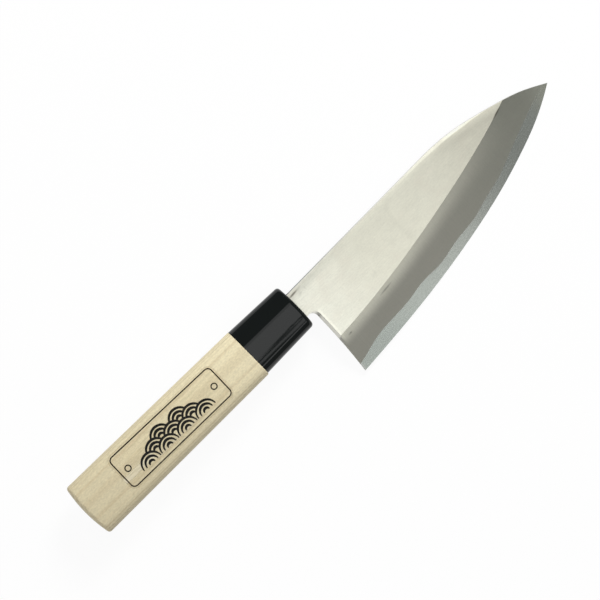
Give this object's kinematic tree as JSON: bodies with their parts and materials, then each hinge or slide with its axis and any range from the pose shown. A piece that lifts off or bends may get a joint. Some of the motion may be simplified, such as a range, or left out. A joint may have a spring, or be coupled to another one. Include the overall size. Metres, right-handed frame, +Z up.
{
  "type": "deba knife",
  "caption": "Single-bevel kitchen knife for cutting fish: thick pointed blade with a wide bevel, black ferrule and pale wooden handle.",
  "frame": {"origin": "centre of the bounding box's base, on the table that the knife lies on", "axes": "+X along the knife from the butt to the tip, +Y from the edge towards the spine, +Z up out of the bevelled face, with the knife in its own resting pose: the front of the wooden grip and the edge touch the table, so the blade leans 5.5 degrees to the edge and 2 degrees to the tip"},
  "size_m": [0.2774, 0.0552, 0.024],
  "materials": {
    "cladding_steel": "satin ground flat, hazed bevel",
    "core_steel": "fine ground, bluish grey",
    "black_plastic": "moulded, soft gloss",
    "pale_wood": "sanded, unvarnished, straight grain",
    "amber_resin": "set resin",
    "clear_film": "thin clear film with a black printed line"
  },
  "bodies": {
    "root": {"soft_steel_cladding": "cladding_steel", "hard_steel_core": "core_steel", "ferrule": "black_plastic", "wooden_handle": "pale_wood", "tang_resin": "amber_resin", "label_film": "clear_film"}
  },
  "joints": []
}
